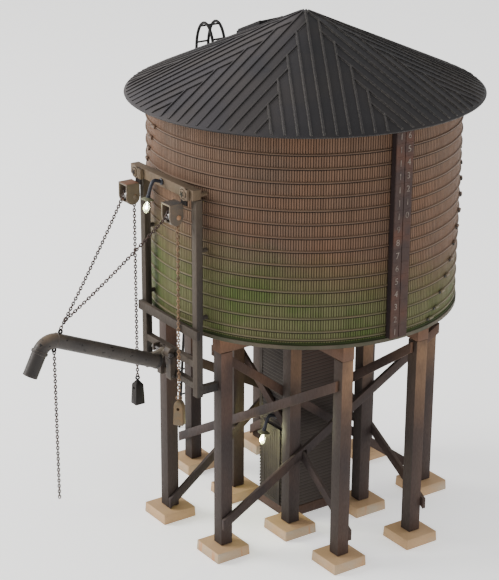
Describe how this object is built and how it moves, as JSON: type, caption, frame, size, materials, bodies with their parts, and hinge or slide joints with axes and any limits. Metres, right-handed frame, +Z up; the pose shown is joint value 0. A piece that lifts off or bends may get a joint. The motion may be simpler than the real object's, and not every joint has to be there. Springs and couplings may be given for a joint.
{
  "type": "model railway water tower",
  "caption": "Model railway water tower: a round staved tank with a conical roof on braced timber posts, with a hinged spout hung on chains and weights.",
  "frame": {"origin": "underside of the central frost box, on the tank's axis, at the level that the footings stand on", "axes": "+Z up along the tank's axis, -Y towards the spout and the track, +X along the track to the right"},
  "size_m": [0.1868, 0.2327, 0.2466],
  "materials": {
    "concrete": "matt, cast footing colour",
    "timber": "matt, weathered timber colour",
    "deck": "matt, mossy",
    "staves": "matt, stained brown to green",
    "gauge": "matt, dark board with pale figures",
    "roofing": "satin charcoal",
    "iron": "satin black",
    "clapboard": "matt",
    "lamp": "lit lamp",
    "housing": "rusty brown",
    "spout_iron": "satin, worn",
    "chain": "darkened",
    "weight_dark": "satin black",
    "weight_copper": "rusty copper"
  },
  "bodies": {
    "tower": {"footing_01": "concrete", "footing_02": "concrete", "footing_10": "concrete", "footing_11": "concrete", "footing_12": "concrete", "footing_13": "concrete", "footing_20": "concrete", "footing_21": "concrete", "footing_22": "concrete", "footing_23": "concrete", "footing_31": "concrete", "footing_32": "concrete", "post_01": "timber", "post_02": "timber", "post_10": "timber", "post_11": "timber", "post_12": "timber", "post_13": "timber", "post_20": "timber", "post_21": "timber", "post_22": "timber", "post_23": "timber", "post_31": "timber", "post_32": "timber", "brace_column_right_outer": "timber", "brace_column_right_inner": "timber", "brace_column_left_outer": "timber", "brace_column_left_inner": "timber", "brace_row_front_outer": "timber", "brace_row_front_inner": "timber", "brace_row_back_inner": "timber", "brace_row_back_outer": "timber", "cap_frame": "timber", "tank_floor": "deck", "tank_shell": "staves", "gauge_board": "gauge", "roof": "roofing", "roof_hatch": "roofing", "ladder": "iron", "frost_box": "clapboard", "frost_box_base": "timber", "frost_box_door": "clapboard", "door_lamp": "lamp", "spout_frame": "timber", "frame_top_beam": "timber", "frame_lower_beam": "timber", "housing_left": "housing", "housing_right": "housing", "beam_lamp": "lamp", "spout_bracket": "iron", "lift_chains": "chain", "weight_chain_left": "chain", "weight_chain_right": "chain"},
    "spout": {"spout": "spout_iron"},
    "pull_chain": {"pull_chain": "chain"},
    "weight_left": {"weight_left": "weight_dark"},
    "weight_right": {"weight_right": "weight_copper"},
    "sheave_left": {"sheave_left": "iron"},
    "sheave_right": {"sheave_right": "iron"}
  },
  "joints": [
    {"name": "spout_hinge", "type": "hinge", "parent": "tower", "child": "spout", "pos_m": [0.0013, -0.0782, 0.0993], "axis": [-1, 0, 0], "range_deg": [0, 45], "deforming": ["lift_chains"]},
    {"name": "pull_chain_swing", "type": "hinge", "parent": "spout", "child": "pull_chain", "pos_m": [0.0013, -0.135, 0.1119], "axis": [-1, 0, 0], "range_deg": [-45, 0]},
    {"name": "weight_left_slide", "type": "slide", "parent": "tower", "child": "weight_left", "axis": [0, 0, -1], "range_m": [0, 0.0378], "deforming": ["weight_chain_left"]},
    {"name": "weight_right_slide", "type": "slide", "parent": "tower", "child": "weight_right", "axis": [0, 0, -1], "range_m": [0, 0.042], "deforming": ["weight_chain_right"]},
    {"name": "sheave_left_spin", "type": "hinge", "parent": "tower", "child": "sheave_left", "pos_m": [-0.022, -0.0812, 0.1684], "axis": [1, 0, 0], "continuous": true},
    {"name": "sheave_right_spin", "type": "hinge", "parent": "tower", "child": "sheave_right", "pos_m": [0.0141, -0.0812, 0.1684], "axis": [1, 0, 0], "continuous": true}
  ],
  "couplings": [
    {"joint": "pull_chain_swing", "follows": "spout_hinge", "ratio": -1},
    {"joint": "weight_left_slide", "follows": "spout_hinge", "m_per_rad": 0.0481},
    {"joint": "weight_right_slide", "follows": "spout_hinge", "m_per_rad": 0.0534}
  ]
}
